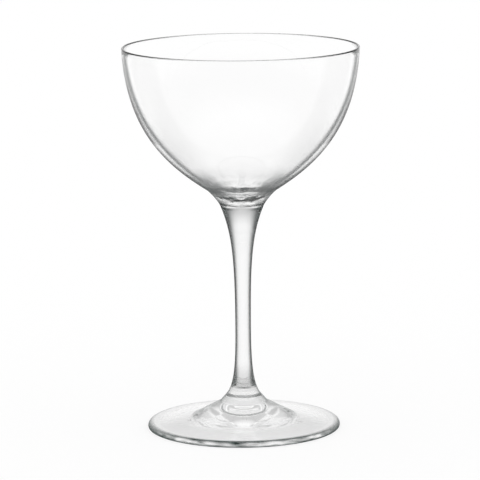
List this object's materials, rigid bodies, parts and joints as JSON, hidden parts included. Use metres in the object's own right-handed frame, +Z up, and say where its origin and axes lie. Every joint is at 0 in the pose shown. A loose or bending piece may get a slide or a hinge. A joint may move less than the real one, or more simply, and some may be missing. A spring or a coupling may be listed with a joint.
{
  "type": "nick and nora glass",
  "caption": "Stemmed cocktail glass in clear glass: a small deep bowl with a thin rounded rim, on a slender drawn stem that flares into a flat round foot.",
  "frame": {"origin": "centre of the flat ring under the foot, on the surface that the glass stands on", "axes": "+Z up the axis of the glass towards the rim; X and Y are level, and the glass is round about Z"},
  "size_m": [0.097, 0.097, 0.158],
  "materials": {
    "bowl_glass": "clear, fire-polished",
    "stem_glass": "clear, drawn",
    "foot_glass": "clear, pressed and polished"
  },
  "bodies": {
    "root": {"bowl": "bowl_glass", "stem": "stem_glass", "foot": "foot_glass"}
  },
  "joints": []
}
